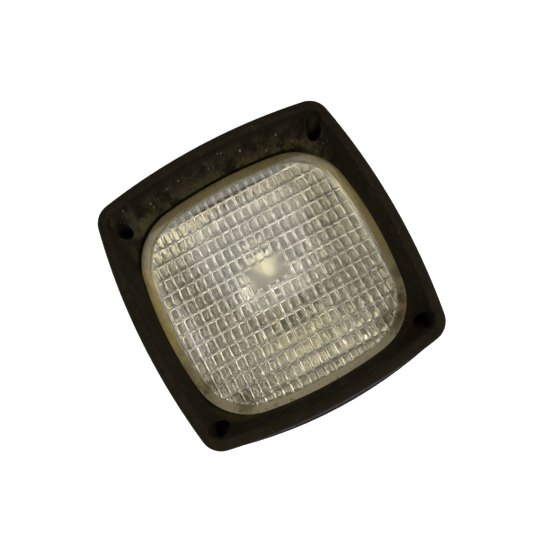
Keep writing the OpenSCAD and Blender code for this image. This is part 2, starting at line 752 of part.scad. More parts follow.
// Round-headed screws, standing head up or head down, with a plain shank down to the thread
module pan_screw(d, length, head_r, head_high, cross_d, cross_w, shank_d, shank_len) {
    difference() {
        union() {
            rotate_extrude() polygon([[0, 0], [head_r, 0], [head_r, head_high * 0.45],
                [head_r * 0.86, head_high * 0.8], [head_r * 0.55, head_high * 0.97], [0, head_high]]);
            translate([0, 0, -shank_len - bite]) cylinder(d = shank_d, h = shank_len + 2 * bite);
            translate([0, 0, -length + d / 4]) cylinder(d = d, h = length - d / 4 - shank_len);
            translate([0, 0, -length]) cylinder(d1 = d * 0.7, d2 = d, h = d / 4);
        }
        for (a = [0, 90]) rotate([0, 0, a])
            translate([-head_r * 0.55, -cross_w / 2, head_high - cross_d]) cube([head_r * 1.1, cross_w, head_high]);
    }
}
screw_head_z = pocket_z + washer_t;
thread_z = flange_z - retainer_t - 1;
screw_turn = 20;
screw_turn_step = 37;
module corner_screws() {
    color([0.28, 0.26, 0.24])
    for (i = [0 : 3]) translate([corner_places[i][0], corner_places[i][1], screw_head_z])
        rotate([0, 0, screw_turn + screw_turn_step * i])
            pan_screw(screw_d, screw_len, head_d / 2, head_h, recess_d, recess_w,
                      waist_d, screw_head_z - thread_z);
}
module spring_washers() {
    color([0.45, 0.44, 0.42])
    for (p = corner_places) translate([p[0], p[1], pocket_z]) difference() {
        cylinder(r = head_d / 2 - 0.2, h = washer_t);
        translate([0, 0, -over]) cylinder(r = screw_d / 2 + 0.2, h = washer_t + 2 * over);
        translate([0, -0.3, -over]) cube([head_d, 0.6, washer_t + 2 * over]);
    }
}
retainer_r = 4.4;
module screw_retainers() {
    color([0.50, 0.48, 0.44])
    for (p = corner_places) translate([p[0], p[1], flange_z - retainer_t]) difference() {
        cylinder(r = retainer_r, h = retainer_t);
        translate([0, 0, -over]) cylinder(r = waist_d / 2 + run_gap, h = retainer_t + 2 * over);
        for (a = [0 : 60 : 300])
            rotate([0, 0, a]) translate([0, -0.3, -over]) cube([3, 0.6, retainer_t + 2 * over]);
    }
}
module housing_screws() {
    color([0.55, 0.54, 0.50])
    for (p = housing_screw_places) translate([p[0], p[1], flange_z]) mirror([0, 0, 1])
        pan_screw(housing_screw_d, housing_screw_len, housing_head_r, housing_head_h,
                  housing_cross_d, housing_cross_w, housing_screw_d - 2 * run_gap, flange_t);
}

// Rubber gasket between the housing flange and the vehicle's panel
module panel_gasket() {
    color([0.07, 0.07, 0.07])
    difference() {
        frame_ring(gasket_edge, grow(bucket_out, 0.6), gasket_z, flange_z);
        for (p = corner_places) translate([p[0], p[1], gasket_z - over])
            cylinder(r = retainer_r + 0.4, h = gasket_t + 2 * over);
        for (p = housing_screw_places) translate([p[0], p[1], gasket_z - over])
            cylinder(r = housing_head_r + 0.5, h = gasket_t + 2 * over);
    }
}

// Bayonet cap that closes the turret, with a grip bar across its recess
cap_gap = 0.4;
cap_r = bore_r - cap_gap;
spigot_r = ledge_r - gap;
spigot_wall = 2.7;
lug_z = ledge_z + ledge_h + gap;
spigot_top = lug_z + lug_h;
recess_r = spigot_r - spigot_wall - 1.5;
grip_end = 1;
groove_d = 1.4;
groove_h = 1.8;
groove_z = cap_sink + (cap_edge - groove_h) / 2;
module rear_cap() {
    plate_z = grip_end + cap_recess;
    color([0.12, 0.12, 0.12])
    union() {
        difference() {
            union() {
                translate([0, 0, cap_sink]) cylinder(r = cap_r, h = cap_edge);
                translate([0, 0, cap_sink]) cylinder(r = spigot_r, h = spigot_top - cap_sink);
            }
            translate([0, 0, cap_in_z]) cylinder(r = spigot_r - spigot_wall, h = spigot_top);
            translate([0, 0, -over]) cylinder(r = recess_r, h = plate_z + over);
            translate([0, 0, groove_z]) difference() {
                cylinder(r = cap_r + over, h = groove_h);
                translate([0, 0, -over]) cylinder(r = cap_r - groove_d, h = groove_h + 2 * over);
            }
        }
        for (i = [0 : 2]) rotate([0, 0, 120 * i + 30])
            sector(spigot_r - bite, cap_r, lug_z, lug_h, -lug_arc / 2, lug_arc);
        intersection() {
            translate([-recess_r - bite, -grip_w / 2, grip_end])
                cube([2 * recess_r + 2 * bite, grip_w, cap_recess + bite]);
            cylinder(r = recess_r + bite, h = rim_z);
        }
    }
}
module cap_seal() {
    color([0.20, 0.07, 0.05])
    translate([0, 0, groove_z + 0.1]) difference() {
        cylinder(r = bore_r - run_gap, h = groove_h - 0.2);
        translate([0, 0, -over]) cylinder(r = cap_r - groove_d, h = groove_h + 2 * over);
    }
}

// Rubber breather plug in the upper side of the turret
module breather() {
    color([0.08, 0.08, 0.08])
    translate([0, 0, breather_z]) rotate([-90, 0, 0]) difference() {
        union() {
            translate([0, 0, bore_r - plug_in])
                cylinder(r = breather_r - fit_gap, h = turret_wall + plug_in + bite);
            translate([0, 0, turret_r + head_gap])
                cylinder(r1 = breather_r + plug_lip, r2 = breather_r + plug_top, h = plug_h);
        }
        translate([0, 0, bore_r - 2 * plug_in])
            cylinder(r = breather_bore_r, h = turret_wall + 2 * (plug_in + plug_h));
    }
}

bezel();
lens_seal();
lens();
lens_sealant();
reflector();
bulb_seat_ring();
bulb_glass();
bulb_filament();
bulb_base();
bulb_clip();
bulb_lead();
lead_terminal();
earth_lead();
earth_terminals();
socket_insert();
live_contact();
earth_contact();
housing();
optic_cushion();
housing_screws();
rear_cap();
cap_seal();
panel_gasket();
corner_screws();
spring_washers();
screw_retainers();
breather();
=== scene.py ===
"""Looks for a square flush-mounted work light: shapes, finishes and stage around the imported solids."""

import math

import bmesh
import bpy
from mathutils import Euler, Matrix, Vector


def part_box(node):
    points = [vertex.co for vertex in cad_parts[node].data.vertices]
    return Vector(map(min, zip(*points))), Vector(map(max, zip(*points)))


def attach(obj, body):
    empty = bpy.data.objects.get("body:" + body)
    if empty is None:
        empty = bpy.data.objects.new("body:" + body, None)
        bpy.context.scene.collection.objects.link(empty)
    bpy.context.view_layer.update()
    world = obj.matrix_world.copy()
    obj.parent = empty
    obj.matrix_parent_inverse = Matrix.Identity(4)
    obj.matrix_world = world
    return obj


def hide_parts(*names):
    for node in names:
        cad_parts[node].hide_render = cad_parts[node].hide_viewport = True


bl_info = {
    "name": "Flush work light",
    "version": (1, 0, 0),
    "blender": (4, 5, 0),
    "location": "View3D > Sidebar > Work light",
    "description": "Builds the visible pieces and finishes of a square flush-mounted work light",
    "category": "Object",
}

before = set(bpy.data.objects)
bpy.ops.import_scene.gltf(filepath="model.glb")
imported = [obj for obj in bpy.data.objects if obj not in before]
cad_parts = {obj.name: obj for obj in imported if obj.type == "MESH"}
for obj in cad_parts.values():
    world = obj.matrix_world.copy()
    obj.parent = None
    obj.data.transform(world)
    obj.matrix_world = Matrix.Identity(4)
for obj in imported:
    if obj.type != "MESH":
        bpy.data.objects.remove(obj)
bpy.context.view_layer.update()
MM = 0.001
RIM_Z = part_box("bezel")[1].z
BACK_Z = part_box("bezel")[0].z
LENS_BACK_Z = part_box("lens_sealant")[1].z
LENS_FRONT_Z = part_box("lens_seal")[0].z
EDGE_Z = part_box("lens_seal")[1].z

# A bowed square is (half width, half height, side bow, end bow, corner radius)
OPENING = tuple(v * MM for v in (64.9, 64.0, 215, 231, 33))
OPENING_POWER = 3.27
SCREW_X, SCREW_Y = 58.5 * MM, 59 * MM
SCREW_HOLE = 2.3 * MM
POCKET_FLOOR = BACK_Z + 5 * MM
RECESS_OUT = 2.8 * MM
DISH_CURVE = 0.45
SHARP = math.radians(35)
SOLID_EDGE, SOLID_EDGE_ANGLE = 0.35 * MM, math.radians(40)


# Settings


class LampSizes(bpy.types.PropertyGroup):
    """Sizes of the lamp's visible shapes."""

    half_width: bpy.props.FloatProperty(
        name="Half width", description="Half the width of the rim", default=73 * MM,
        unit="LENGTH")
    half_height: bpy.props.FloatProperty(
        name="Half height", description="Half the height of the rim", default=76 * MM,
        unit="LENGTH")
    side_bow: bpy.props.FloatProperty(
        name="Side bow", description="Bow radius of the left and right sides", default=350 * MM,
        unit="LENGTH")
    end_bow: bpy.props.FloatProperty(
        name="End bow", description="Bow radius of the top and bottom", default=320 * MM,
        unit="LENGTH")
    corner: bpy.props.FloatProperty(
        name="Corner", description="Radius of the outer corners", default=11.5 * MM, unit="LENGTH")
    lip_width: bpy.props.FloatProperty(
        name="Lip width", description="Width of the smooth lip round the rim", default=6 * MM,
        unit="LENGTH")
    dish_depth: bpy.props.FloatProperty(
        name="Dish depth", description="Depth from the rim to the lens opening", default=32 * MM,
        unit="LENGTH")
    lip_round: bpy.props.FloatProperty(
        name="Lip round", description="Radius of the outer edge of the lip", default=3 * MM,
        unit="LENGTH")
    pocket_radius: bpy.props.FloatProperty(
        name="Pocket radius", description="Radius of the screw pockets", default=4.35 * MM,
        unit="LENGTH")
    flute_pitch: bpy.props.FloatProperty(
        name="Flute pitch", description="Width of one flute of the lens", default=5.1 * MM,
        unit="LENGTH")
    row_pitch: bpy.props.FloatProperty(
        name="Row pitch", description="Height of one row of flutes", default=8.2 * MM,
        unit="LENGTH")
    flute_depth: bpy.props.FloatProperty(
        name="Flute depth", description="Depth of a flute", default=0.8 * MM, unit="LENGTH")


class LampColours(bpy.types.PropertyGroup):
    """Colours of the lamp's finishes."""

    plastic: bpy.props.FloatVectorProperty(
        name="Plastic", description="Black plastic of the bezel and the housing", subtype="COLOR",
        size=4, min=0, max=1, default=(0.0088, 0.0069, 0.0034, 1))
    dust: bpy.props.FloatVectorProperty(
        name="Dust", description="Dry dust on the bezel", subtype="COLOR",
        size=4, min=0, max=1, default=(0.052, 0.043, 0.026, 1))
    glass: bpy.props.FloatVectorProperty(
        name="Glass", description="Tint of the lens", subtype="COLOR",
        size=4, min=0, max=1, default=(0.94, 0.90, 0.78, 1))
    sealant: bpy.props.FloatVectorProperty(
        name="Sealant", description="Cream sealant behind the flange of the lens", subtype="COLOR",
        size=4, min=0, max=1, default=(0.84, 0.67, 0.23, 1))
    rust: bpy.props.FloatVectorProperty(
        name="Rust", description="Rust on the screws", subtype="COLOR",
        size=4, min=0, max=1, default=(0.11, 0.035, 0.012, 1))


def sizes():
    return bpy.context.scene.lamp_sizes


def colours():
    return bpy.context.scene.lamp_colours


# Shapes


def bowed(outer=0.0):
    """Outline of the rim, or one that lies further out."""
    s = sizes()
    return grow((s.half_width, s.half_height, s.side_bow, s.end_bow, s.corner), outer)


def opening(outer=0.0):
    """Outline of the lens opening, or one that lies further out."""
    return grow(OPENING, outer)


def grow(shape, amount):
    return tuple(v + amount for v in shape)


def between(a, b, t):
    return tuple(p + (q - p) * t for p, q in zip(a, b))


def corner_centre(shape):
    """Centre of the corner arc that touches both bows."""
    w, h, side, end, corner = shape
    a, b = Vector((w - side, 0)), Vector((0, h - end))
    ra, rb = side - corner, end - corner
    d = (b - a).length
    u = (b - a) / d
    t = (ra * ra - rb * rb + d * d) / (2 * d)
    v = math.sqrt(ra * ra - t * t)
    return a + u * t + Vector((-u.y, u.x)) * v


def outline(shape, bow_steps=14, corner_steps=12):
    """Points round a bowed square, anticlockwise from the middle of its right side."""
    w, h, side, end, corner = shape
    c = corner_centre(shape)
    t1 = math.atan2(c.y, c.x - w + side)
    t2 = math.atan2(c.y - h + end, c.x)
    half_pi = math.pi / 2
    quarter = [(w - side + side * math.cos(t1 * i / bow_steps), side * math.sin(t1 * i / bow_steps))
               for i in range(bow_steps)]
    for i in range(corner_steps + 1):
        t = t1 + (t2 - t1) * i / corner_steps
        quarter.append((c.x + corner * math.cos(t), c.y + corner * math.sin(t)))
    for i in range(1, bow_steps + 1):
        t = t2 + (half_pi - t2) * i / bow_steps
        quarter.append((end * math.cos(t), h - end + end * math.sin(t)))
    n = len(quarter) - 1
    return (quarter[:n] + [(-x, y) for x, y in reversed(quarter[1:])]
            + [(-x, -y) for x, y in quarter[:n]] + [(x, -y) for x, y in reversed(quarter[1:])])


def outward_share(shape, x, y):
    """How far a point is out from the middle, as a share of the way to the outline."""
    w, h, side, end, corner = shape
    c = corner_centre(shape)
    x, y = abs(x), abs(y)
    low, high = 0.0, 4.0
    halvings = 24
    for _ in range(halvings):
        t = (low + high) / 2
        px, py = x * t, y * t
        ok = (math.hypot(px - w + side, py) <= side and math.hypot(px, py - h + end) <= end)
        if ok and px > c.x and py > c.y:
            ok = math.hypot(px - c.x, py - c.y) <= corner
        low, high = (t, high) if ok else (low, t)
    return 1 / low


def loft(bm, rings, closed_section):
    """Skin through rings of equal length. A closed section joins the last ring to the first."""
    rows = [[bm.verts.new(point) for point in points] for points in rings]
    n = len(rings[0])
    count = len(rows) if closed_section else len(rows) - 1
    for i in range(count):
        a, b = rows[i], rows[(i + 1) % len(rows)]
        for j in range(n):
            k = (j + 1) % n
            bm.faces.new((a[j], a[k], b[k], b[j]))
    return rows


def ring(shape, z):
    return [(x, y, z) for x, y in outline(shape)]


def mark_sharp(bm, sharp):
    """Makes all faces smooth, and keeps the edges that turn more than an angle sharp."""
    for f in bm.faces:
        f.smooth = True
    for e in bm.edges:
        e.smooth = not (len(e.link_faces) == 2 and e.calc_face_angle(0) > sharp)


def finish_mesh(bm, name, sharp=SHARP):
    """Makes an object of a bmesh, smooth apart from its sharp edges."""
    bmesh.ops.recalc_face_normals(bm, faces=bm.faces)
    mark_sharp(bm, sharp)
    mesh = bpy.data.meshes.new(name)
    bm.to_mesh(mesh)
    bm.free()
    obj = bpy.data.objects.new(name, mesh)
    bpy.context.scene.collection.objects.link(obj)
    return obj


def resharpen(obj):
    """Marks the sharp edges again after the screw pockets are cut."""
    bm = bmesh.new()
    bm.from_mesh(obj.data)
    mark_sharp(bm, SHARP)
    bm.to_mesh(obj.data)
    bm.free()


def cut_hole(obj, cutter):
    """Takes the cutter's shape out of obj for good, and removes the cutter."""
    m = obj.modifiers.new("hole", "BOOLEAN")
    m.object, m.operation, m.solver = cutter, "DIFFERENCE", "EXACT"
    bpy.context.view_layer.update()
    graph = bpy.context.evaluated_depsgraph_get()
    mesh = bpy.data.meshes.new_from_object(obj.evaluated_get(graph))
    obj.modifiers.clear()
    obj.data = mesh
    bpy.data.objects.remove(cutter)


def place(obj, body, slot, *replaced):
    """Gives a piece its body and hides the solids that it stands for. The slot is not used."""
    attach(obj, body)
    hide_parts(*replaced)


# Node groups and materials


def group(name, inputs, outputs):
    """New node group with float, colour or vector sockets, and its input and output nodes."""
    tree = bpy.data.node_groups.new(name, "ShaderNodeTree")
    for socket, kind, default in inputs:
        item = tree.interface.new_socket(socket, in_out="INPUT", socket_type=kind)
        if default is not None:
            item.default_value = default
    for socket, kind in outputs:
        tree.interface.new_socket(socket, in_out="OUTPUT", socket_type=kind)
    return tree, tree.nodes.new("NodeGroupInput"), tree.nodes.new("NodeGroupOutput")


def feed(tree, socket, value):
    """Links another node's output to a socket, or sets the socket to a constant."""
    if isinstance(value, bpy.types.NodeSocket):
        tree.links.new(value, socket)
    else:
        socket.default_value = value


def node(tree, kind, values=None, **settings):
    """New shader node with its settings and what feeds its sockets."""
    n = tree.nodes.new("ShaderNode" + kind)
    for name, setting in settings.items():
        setattr(n, name, setting)
    for socket, value in (values or {}).items():
        feed(tree, n.inputs[socket], value)
    return n


def math_node(tree, operation, a, b=0.0, clamp=False):
    return node(tree, "Math", {0: a, 1: b}, operation=operation, use_clamp=clamp).outputs[0]


def product(tree, *values):
    result = values[0]
    for v in values[1:]:
        result = math_node(tree, "MULTIPLY", result, v)
    return result


def remap(tree, value, low, high, to_low=0.0, to_high=1.0, smooth=True):
    n = node(tree, "MapRange", {"Value": value, "From Min": low, "From Max": high,
                                "To Min": to_low, "To Max": to_high},
             interpolation_type="SMOOTHSTEP" if smooth else "LINEAR")
    return n.outputs["Result"]


def mix(tree, factor, a, b):
    """Mix of two colours. The colour sockets of a Mix node are its inputs 6 and 7 and its output 2."""
    return node(tree, "Mix", {0: factor, 6: a, 7: b}, data_type="RGBA").outputs[2]


def noise(tree, vector, scale, detail=4.0, rough=0.55):
    return node(tree, "TexNoise", {"Vector": vector, "Scale": scale, "Detail": detail,
                                   "Roughness": rough}).outputs["Fac"]


def grime_group():
    """Blotchy mask of dirt: large patches broken up by fine noise."""
    tree, gin, gout = group("grime", [
        ("Position", "NodeSocketVector", None), ("Patch Scale", "NodeSocketFloat", 60.0),
        ("Grain Scale", "NodeSocketFloat", 900.0), ("Coverage", "NodeSocketFloat", 0.5),
        ("Softness", "NodeSocketFloat", 0.15)], [("Mask", "NodeSocketFloat")])
    patch = noise(tree, gin.outputs["Position"], gin.outputs["Patch Scale"], 5.0, 0.62)
    grain = noise(tree, gin.outputs["Position"], gin.outputs["Grain Scale"], 3.0, 0.6)
    both = math_node(tree, "ADD", math_node(tree, "MULTIPLY", patch, 0.72),
                     math_node(tree, "MULTIPLY", grain, 0.28))
    level = math_node(tree, "SUBTRACT", 1.0, gin.outputs["Coverage"])
    low = math_node(tree, "SUBTRACT", level, gin.outputs["Softness"])
    high = math_node(tree, "ADD", level, gin.outputs["Softness"])
    n = node(tree, "MapRange", {"Value": both, "From Min": low, "From Max": high},
             interpolation_type="SMOOTHSTEP")
    tree.links.new(n.outputs["Result"], gout.inputs["Mask"])
    return tree


def specks_group():
    """Mask of small scattered spots."""
    tree, gin, gout = group("specks", [
        ("Position", "NodeSocketVector", None), ("Scale", "NodeSocketFloat", 300.0),
        ("Size", "NodeSocketFloat", 0.15), ("Share", "NodeSocketFloat", 0.3)],
        [("Mask", "NodeSocketFloat")])
    cells = node(tree, "TexVoronoi", {"Vector": gin.outputs["Position"],
                                      "Scale": gin.outputs["Scale"], "Randomness": 1.0})
    spot = node(tree, "MapRange", {"Value": cells.outputs["Distance"], "From Min": gin.outputs["Size"],
                                   "From Max": 0.0}, interpolation_type="SMOOTHSTEP")
    pick = node(tree, "SeparateColor", {0: cells.outputs["Color"]})
    some = math_node(tree, "LESS_THAN", pick.outputs[0], gin.outputs["Share"])
    tree.links.new(math_node(tree, "MULTIPLY", spot.outputs["Result"], some), gout.inputs["Mask"])
    return tree


def outward_group():
    """How far a point lies out from the middle of the lens: 1 at the edge of the opening."""
    tree, gin, gout = group("outward", [
        ("Position", "NodeSocketVector", None), ("Half Width", "NodeSocketFloat", OPENING[0]),
        ("Half Height", "NodeSocketFloat", OPENING[1]), ("Power", "NodeSocketFloat", OPENING_POWER)],
        [("Share", "NodeSocketFloat")])
    axes = node(tree, "SeparateXYZ", {0: gin.outputs["Position"]})
    power = gin.outputs["Power"]
    parts = []
    for axis, half in (("X", "Half Width"), ("Y", "Half Height")):
        share = math_node(tree, "DIVIDE", math_node(tree, "ABSOLUTE", axes.outputs[axis]), gin.outputs[half])
        parts.append(math_node(tree, "POWER", share, power))
    total = math_node(tree, "ADD", *parts)
    share = math_node(tree, "POWER", total, math_node(tree, "DIVIDE", 1.0, power))
    tree.links.new(share, gout.inputs["Share"])
    return tree


def stain_group():
    """Mask of one stain with a ragged edge."""
    tree, gin, gout = group("stain", [
        ("Position", "NodeSocketVector", None), ("Centre", "NodeSocketVector", None),
        ("Radius", "NodeSocketFloat", 10 * MM), ("Ragged", "NodeSocketFloat", 6 * MM),
        ("Grain Scale", "NodeSocketFloat", 260.0)], [("Mask", "NodeSocketFloat")])
    flat = node(tree, "VectorMath", {0: gin.outputs["Position"], 1: (1, 1, 0)}, operation="MULTIPLY")
    away = node(tree, "VectorMath", {0: flat.outputs[0], 1: gin.outputs["Centre"]}, operation="DISTANCE")
    rough = noise(tree, gin.outputs["Position"], gin.outputs["Grain Scale"], 4.0, 0.6)
    shift = math_node(tree, "MULTIPLY", math_node(tree, "SUBTRACT", rough, 0.5), gin.outputs["Ragged"])
    reach = math_node(tree, "ADD", away.outputs["Value"], shift)
    n = node(tree, "MapRange", {"Value": reach, "From Min": gin.outputs["Radius"],
                                "From Max": math_node(tree, "MULTIPLY", gin.outputs["Radius"], 0.3)},
             interpolation_type="SMOOTHSTEP")
    tree.links.new(n.outputs["Result"], gout.inputs["Mask"])
    return tree


def grain_group():
    """Fine height of moulded plastic, rubber or cast glass."""
    tree, gin, gout = group("grain", [
        ("Position", "NodeSocketVector", None), ("Scale", "NodeSocketFloat", 2000.0)],
        [("Height", "NodeSocketFloat")])
    fine = noise(tree, gin.outputs["Position"], gin.outputs["Scale"], 3.0, 0.5)
    broad = noise(tree, gin.outputs["Position"],
                  math_node(tree, "MULTIPLY", gin.outputs["Scale"], 0.12), 2.0, 0.5)
    tree.links.new(math_node(tree, "ADD", fine, broad), gout.inputs["Height"])
    return tree


def use_group(tree, name, build, **values):
    """Places a node group, which is built at its first use, and feeds its sockets."""
    n = tree.nodes.new("ShaderNodeGroup")
    n.node_tree = bpy.data.node_groups.get(name) or build()
    for socket, value in values.items():
        feed(tree, n.inputs[socket.replace("_", " ")], value)
    return n.outputs[0]


class Finish:
    """A material under construction. Squash below 1 draws its patterns out along Z."""

    def __init__(self, name, squash=1.0, **constants):
        self.material = bpy.data.materials.new(name)
        self.material.use_nodes = True
        self.tree = self.material.node_tree
        self.shader = self.tree.nodes["Principled BSDF"]
        self.place = node(self.tree, "TexCoord").outputs["Object"]
        self.position = self.place
        if squash != 1:
            self.position = node(self.tree, "VectorMath", {0: self.place, 1: (1, 1, squash)},
                                 operation="MULTIPLY").outputs[0]
        for socket, value in constants.items():
            self.set(socket.replace("_", " "), value)

    def axis(self, name):
        return node(self.tree, "SeparateXYZ", {0: self.place}).outputs[name]

    def set(self, socket, value):
        feed(self.tree, self.shader.inputs[socket], value)

    def bump(self, height, distance, strength=1.0):
        n = node(self.tree, "Bump", {"Height": height, "Distance": distance, "Strength": strength})
        self.set("Normal", n.outputs["Normal"])

    def grime(self, **values):
        return use_group(self.tree, "grime", grime_group, Position=self.position, **values)

    def specks(self, **values):
        return use_group(self.tree, "specks", specks_group, Position=self.position, **values)

    def outward(self):
        return use_group(self.tree, "outward", outward_group, Position=self.position)

    def stain(self, x, y, radius, ragged=8.0):
        return use_group(self.tree, "stain", stain_group, Position=self.position,
                         Centre=(x * MM, y * MM, 0), Radius=radius * MM, Ragged=ragged * MM)

    def grain(self, scale):
        return use_group(self.tree, "grain", grain_group, Position=self.position, Scale=scale)


def dress(obj, *finishes):
    """Gives an object its materials and keeps which face has which."""
    indices = [p.material_index for p in obj.data.polygons]
    obj.data.materials.clear()
    for finish in finishes:
        obj.data.materials.append(finish.material)
    obj.data.polygons.foreach_set("material_index", indices)


def plain_finish(name, colour, dirt, rough, metallic=0.0):
    """Two-tone finish with patches of dirt, for the pieces at the back and inside."""
    f = Finish(name, Metallic=metallic)
    patches = f.grime(Patch_Scale=90.0, Grain_Scale=1400.0, Coverage=0.42, Softness=0.16)
    f.set("Base Color", mix(f.tree, patches, colour, dirt))
    f.set("Roughness", remap(f.tree, patches, 0.0, 1.0, rough, min(rough + 0.25, 1.0)))
    f.bump(f.grain(1500.0), 0.04 * MM)
    return f


# Bezel


def dish_share(t):
    """Share of the dish's fall at a share of the way in from the lip: steep first, then flatter."""
    return (1 - DISH_CURVE) * t + DISH_CURVE * math.sin(math.pi / 2 * t)


def bezel_rings():
    """Section of the bezel as rings: outer wall, lip, dish, edge of the opening and recess of the lens."""
    s = sizes()
    lip_round, inner_round, inner_slope = s.lip_round, 1.0 * MM, 1.6
    wall_steps, lip_steps, inner_steps, dish_steps = 5, 10, 6, 20
    recess = opening(RECESS_OUT)
    rings = [ring(bowed(), BACK_Z + (RIM_Z - lip_round - BACK_Z) * i / wall_steps)
             for i in range(wall_steps)]
    for i in range(lip_steps + 1):
        a = math.pi / 2 * i / lip_steps
        rings.append(ring(bowed(lip_round * (math.cos(a) - 1)), RIM_Z - lip_round * (1 - math.sin(a))))
    for i in range(1, inner_steps + 1):
        a = math.pi / 2 * i / inner_steps
        rings.append(ring(bowed(-s.lip_width + inner_round * (1 - math.sin(a)) * inner_slope),
                          RIM_Z - inner_round * (1 - math.cos(a))))
    start = bowed(-s.lip_width)
    fall = s.dish_depth - inner_round
    for i in range(1, dish_steps + 1):
        t = i / dish_steps
        rings.append(ring(between(start, opening(), t), RIM_Z - inner_round - fall * dish_share(t)))
    rings += [ring(opening(), EDGE_Z), ring(recess, EDGE_Z), ring(recess, BACK_Z)]
    return rings


def cylinder(radius, low, high, x, y, steps=48):
    bm = bmesh.new()
    loft(bm, [[(x + radius * math.cos(2 * math.pi * i / steps),
                y + radius * math.sin(2 * math.pi * i / steps), z) for i in range(steps)]
              for z in (low, high)], closed_section=False)
    bmesh.ops.holes_fill(bm, edges=bm.edges)
    return finish_mesh(bm, "cutter")


def corner_places():
    return [(sx * SCREW_X, sy * SCREW_Y) for sx in (-1, 1) for sy in (-1, 1)]


def bezel_finish():
    """Black plastic with dust on the top side, dirt along the foot of the dish, pale specks and painted
    shade along the upper-left edge of the opening.
    """
    c = colours()
    f = Finish("bezel_plastic", squash=0.3)
    x, y, z = f.axis("X"), f.axis("Y"), f.axis("Z")
    tree = f.tree
    beside = math_node(tree, "ABSOLUTE", x)

    slope = remap(tree, z, RIM_Z - 2 * MM, RIM_Z - 12 * MM)
    top_side = remap(tree, math_node(tree, "SUBTRACT", y, beside), -22 * MM, 12 * MM)
    bottom_side = remap(tree, math_node(tree, "ADD", y, beside), 30 * MM, -12 * MM)
    upper_left = remap(tree, math_node(tree, "SUBTRACT", y, x), -20 * MM, 30 * MM)
    dish = remap(tree, f.outward(), 1.09, 1.06)
    foot = product(tree, dish, remap(tree, z, EDGE_Z + 12 * MM, EDGE_Z + 1 * MM))
    low_slope = remap(tree, z, EDGE_Z + 18 * MM, EDGE_Z + 4 * MM)
    # Painted shade: a near-black line along the edge of the opening on the upper left, where the gap between
    # bezel and lens lies in shade
    gap_shade_line = remap(tree, z, EDGE_Z + 3.6 * MM, EDGE_Z + 2 * MM)

    clouds = f.grime(Patch_Scale=25.0, Grain_Scale=300.0, Coverage=0.5, Softness=0.25)
    broad = f.grime(Patch_Scale=60.0, Grain_Scale=700.0, Coverage=0.50, Softness=0.16)
    fine = f.grime(Patch_Scale=160.0, Grain_Scale=2100.0, Coverage=0.50, Softness=0.08)
    grit = f.specks(Scale=560.0, Size=0.5, Share=0.45)
    pits = f.specks(Scale=430.0, Size=0.5, Share=0.4)
    pale = math_node(tree, "MAXIMUM", f.specks(Scale=520.0, Size=0.28, Share=0.16),
                     f.specks(Scale=230.0, Size=0.18, Share=0.14))

    def stronger_on_top(everywhere, on_top):
        return math_node(tree, "ADD", everywhere, product(tree, top_side, slope, on_top))

    dust = math_node(tree, "ADD", product(tree, broad, fine, top_side, slope, 0.75),
                     product(tree, fine, math_node(tree, "ADD", 0.10, product(tree, foot, 0.22))),
                     clamp=True)
    layers = (
        (clouds, (0.0140, 0.0110, 0.0060, 1)),
        (dust, tuple(c.dust)),
        (product(tree, bottom_side, foot, broad), (0.055, 0.039, 0.012, 1)),
        (product(tree, top_side, dish, low_slope, fine, 0.8), (0.060, 0.050, 0.016, 1)),
        (product(tree, grit, dish, stronger_on_top(0.22, 0.33)), (0.075, 0.065, 0.045, 1)),
        (product(tree, pits, dish, slope, 0.5), (0.0025, 0.002, 0.0012, 1)),
        (product(tree, pale, stronger_on_top(0.12, 0.88)), (0.30, 0.27, 0.20, 1)),
        # Painted shade of the gap along the upper-left edge of the opening
        (product(tree, upper_left, gap_shade_line, dish), (0.0012, 0.001, 0.0008, 1)))
    colour = tuple(c.plastic)
    for mask, tone in layers:
        colour = mix(tree, mask, colour, tone)
    f.set("Base Color", colour)
    f.set("Roughness", remap(tree, fine, 0.0, 1.0, 0.60, 0.74))
    f.set("Specular IOR Level", 0.03)
    f.set("Specular Tint", (1.0, 0.88, 0.68, 1))
    f.bump(f.grain(1300.0), 0.06 * MM, 0.6)
    return f


class LAMP_OT_bezel(bpy.types.Operator):
    """Builds the deep dished bezel with its screw pockets"""

    bl_idname = "lamp.bezel"
    bl_label = "Bezel"

    def execute(self, context):
        bm = bmesh.new()
        loft(bm, bezel_rings(), closed_section=True)
        obj = finish_mesh(bm, "bezel_shell")
        past = 10 * MM
        for x, y in corner_places():
            cut_hole(obj, cylinder(sizes().pocket_radius, POCKET_FLOOR, RIM_Z + past, x, y))
            cut_hole(obj, cylinder(SCREW_HOLE, BACK_Z - past, RIM_Z, x, y, 32))
        resharpen(obj)
        dress(obj, bezel_finish())
        place(obj, "lamp", "bezel_plastic", "bezel")
        return {"FINISHED"}


# Lens


# Bare pad: left, right, bottom and top
PAD = (-11 * MM, 11 * MM, -0.5 * MM, 11.5 * MM)
PAD_DEPTH = 0.9 * MM
PAD_SLOPE = 0.1 * MM
GLASS_GAP = 0.03 * MM
FLANGE_OUT = 2.5 * MM
FIELD_OUT = -5.3 * MM
FIELD_STEP, FIELD_CROWN, FIELD_STEPS = 0.8 * MM, 2.0 * MM, 14
LENS_SHARP = math.radians(30)
# Ridge round the field: how far out from the opening in millimetres, share of the step's height
RIDGE = ((-4.3, 0), (-4.5, 0.15), (-4.7, 0.5), (-4.9, 0.85), (-5.2, 1.0), (-5.7, 0.95), (-6.2, 0.85))

# A flute gets shallower from its middle to its edge in three parts: body, glint band and rest; the glint
# band carries a mirror for painted glints
LEAST_DEPTH = 0.25 * MM
END_SHARE = 0.9
GLINT_BAND = (0.72, 0.88)
BODY_FALL = 0.3
BAND_FALL = 0.14
UNEVEN = 0.2
CELL_RINGS = (0.985, GLINT_BAND[1], GLINT_BAND[0], 0.6, 0.45, 0.3, 0.15)
CELL_TURNS = (0, 22, 45, 68, 90)
BAND_LEVEL = CELL_RINGS.index(GLINT_BAND[0])
CHANCE_STEPS = (12.9898, 78.233, 37.719)
CHANCE_SPREAD = 43758.5453
# Cells closer in than the first share stay whole, and those past the second one are left out
CUT_SHARES = (0.97, 1.06)

